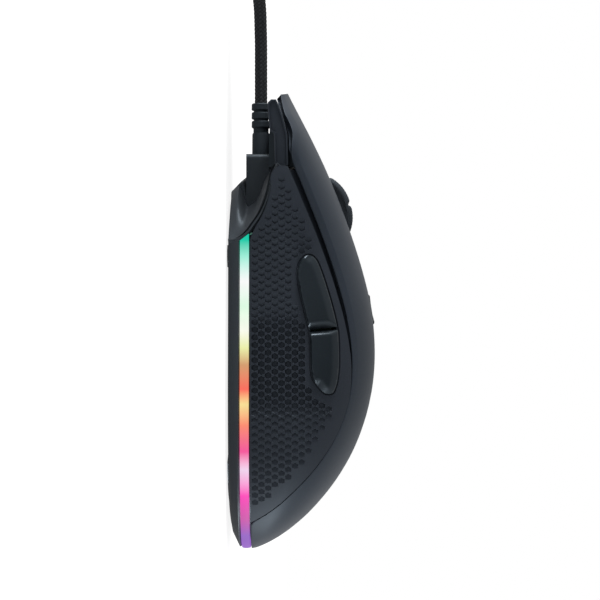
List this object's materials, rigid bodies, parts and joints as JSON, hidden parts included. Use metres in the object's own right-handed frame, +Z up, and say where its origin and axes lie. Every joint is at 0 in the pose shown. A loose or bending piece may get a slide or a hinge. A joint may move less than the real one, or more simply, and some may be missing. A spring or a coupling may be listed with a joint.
{
  "type": "computer mouse",
  "caption": "Wired gaming mouse with a lit base strip, thumb buttons, a scroll wheel and a coiled braided cable.",
  "frame": {"origin": "centre of the mouse's own bounding box on the desk plane, without the free cord", "axes": "+Y towards the nose, +X to the user's right, +Z up"},
  "size_m": [0.0848, 0.2263, 0.0406],
  "materials": {
    "shell_plastic": "fine matte, dark blue-grey",
    "panel_plastic": "matte with hexagonal grip dimples",
    "base_plastic": "satin dark grey",
    "gloss_plastic": "glossy black",
    "tyre_rubber": "matte black, lobed",
    "light_guide": "translucent, lit in rainbow colours",
    "skate_ptfe": "slick black",
    "board_green": "green solder mask",
    "component_black": "moulded black",
    "component_white": "moulded off-white",
    "lens_clear": "clear moulded lens",
    "steel": "nickel-plated steel",
    "cord_braid": "tight dark braid",
    "boot_rubber": "matte dark grey",
    "tie_fabric": "hook-and-loop tape"
  },
  "bodies": {
    "root": {"palm_cover": "shell_plastic", "left_side_panel": "panel_plastic", "right_side_panel": "panel_plastic", "left_fender": "panel_plastic", "right_fender": "panel_plastic", "base_shell": "base_plastic", "front_lower_shell": "base_plastic", "centre_spine": "gloss_plastic", "light_strip": "light_guide", "front_foot": "skate_ptfe", "rear_foot": "skate_ptfe", "main_board": "board_green", "thumb_board": "board_green", "sensor_chip": "component_black", "controller_chip": "component_black", "led_driver_chip": "component_black", "wheel_encoder": "component_black", "left_switch": "component_black", "right_switch": "component_black", "middle_switch": "component_black", "dpi_switch": "component_black", "forward_switch": "component_black", "back_switch": "component_black", "inner_cable": "component_black", "led_flex_board": "component_white", "capacitor": "component_white", "cable_connector": "component_white", "plug_insulator": "component_white", "sensor_lens": "lens_clear", "case_screw_rear_left": "steel", "case_screw_rear_right": "steel", "case_screw_front_left": "steel", "case_screw_front_right": "steel", "board_screw_left": "steel", "board_screw_right": "steel", "plug_shell": "steel", "cord_lead": "cord_braid", "cord_coil": "cord_braid", "cord_tail": "cord_braid", "cable_boot": "boot_rubber", "plug_grip": "boot_rubber", "cord_tie": "tie_fabric"},
    "left_button": {"left_button": "shell_plastic"},
    "right_button": {"right_button": "shell_plastic"},
    "wheel_carrier": {"wheel_carrier": "component_black"},
    "wheel": {"wheel_tyre": "tyre_rubber", "wheel_hub": "component_white", "wheel_axle": "steel"},
    "dpi_button": {"dpi_button": "gloss_plastic"},
    "forward_button": {"forward_button": "gloss_plastic"},
    "back_button": {"back_button": "gloss_plastic"},
    "left_plunger": {"left_switch_plunger": "component_white"},
    "right_plunger": {"right_switch_plunger": "component_white"},
    "middle_plunger": {"middle_switch_plunger": "component_white"},
    "dpi_plunger": {"dpi_switch_plunger": "component_white"},
    "forward_plunger": {"forward_switch_plunger": "component_white"},
    "back_plunger": {"back_switch_plunger": "component_white"}
  },
  "joints": [
    {"name": "left_button_press", "type": "hinge", "parent": "root", "child": "left_button", "pos_m": [-0.018, -0.008, 0.037], "axis": [-1, 0, 0], "range_deg": [0, 0.9], "stiffness_Nm_per_rad": 2},
    {"name": "left_switch_press", "type": "slide", "parent": "root", "child": "left_plunger", "axis": [0, 0, -1], "range_m": [0, 0.0005]},
    {"name": "right_button_press", "type": "hinge", "parent": "root", "child": "right_button", "pos_m": [0.018, -0.008, 0.037], "axis": [-1, 0, 0], "range_deg": [0, 0.9], "stiffness_Nm_per_rad": 2},
    {"name": "right_switch_press", "type": "slide", "parent": "root", "child": "right_plunger", "axis": [0, 0, -1], "range_m": [0, 0.0005]},
    {"name": "wheel_click", "type": "slide", "parent": "root", "child": "wheel_carrier", "axis": [0, 0, -1], "range_m": [0, 0.0006], "stiffness_N_per_m": 1500},
    {"name": "middle_switch_press", "type": "slide", "parent": "root", "child": "middle_plunger", "axis": [0, 0, -1], "range_m": [0, 0.0006]},
    {"name": "wheel_spin", "type": "hinge", "parent": "wheel_carrier", "child": "wheel", "pos_m": [0, 0.0289, 0.0214], "axis": [1, 0, 0], "continuous": true},
    {"name": "dpi_press", "type": "slide", "parent": "root", "child": "dpi_button", "axis": [0, 0, -1], "range_m": [0, 0.0005], "stiffness_N_per_m": 2500},
    {"name": "dpi_switch_press", "type": "slide", "parent": "root", "child": "dpi_plunger", "axis": [0, 0, -1], "range_m": [0, 0.0005]},
    {"name": "forward_press", "type": "slide", "parent": "root", "child": "forward_button", "axis": [1, 0, 0], "range_m": [0, 0.0006], "stiffness_N_per_m": 1500},
    {"name": "forward_switch_press", "type": "slide", "parent": "root", "child": "forward_plunger", "axis": [1, 0, 0], "range_m": [0, 0.0006]},
    {"name": "back_press", "type": "slide", "parent": "root", "child": "back_button", "axis": [1, 0, 0], "range_m": [0, 0.0006], "stiffness_N_per_m": 1500},
    {"name": "back_switch_press", "type": "slide", "parent": "root", "child": "back_plunger", "axis": [1, 0, 0], "range_m": [0, 0.0006]}
  ],
  "couplings": [
    {"joint": "left_switch_press", "follows": "left_button_press", "m_per_rad": 0.029},
    {"joint": "right_switch_press", "follows": "right_button_press", "m_per_rad": 0.029},
    {"joint": "middle_switch_press", "follows": "wheel_click", "ratio": 1},
    {"joint": "dpi_switch_press", "follows": "dpi_press", "ratio": 1},
    {"joint": "forward_switch_press", "follows": "forward_press", "ratio": 1},
    {"joint": "back_switch_press", "follows": "back_press", "ratio": 1}
  ]
}
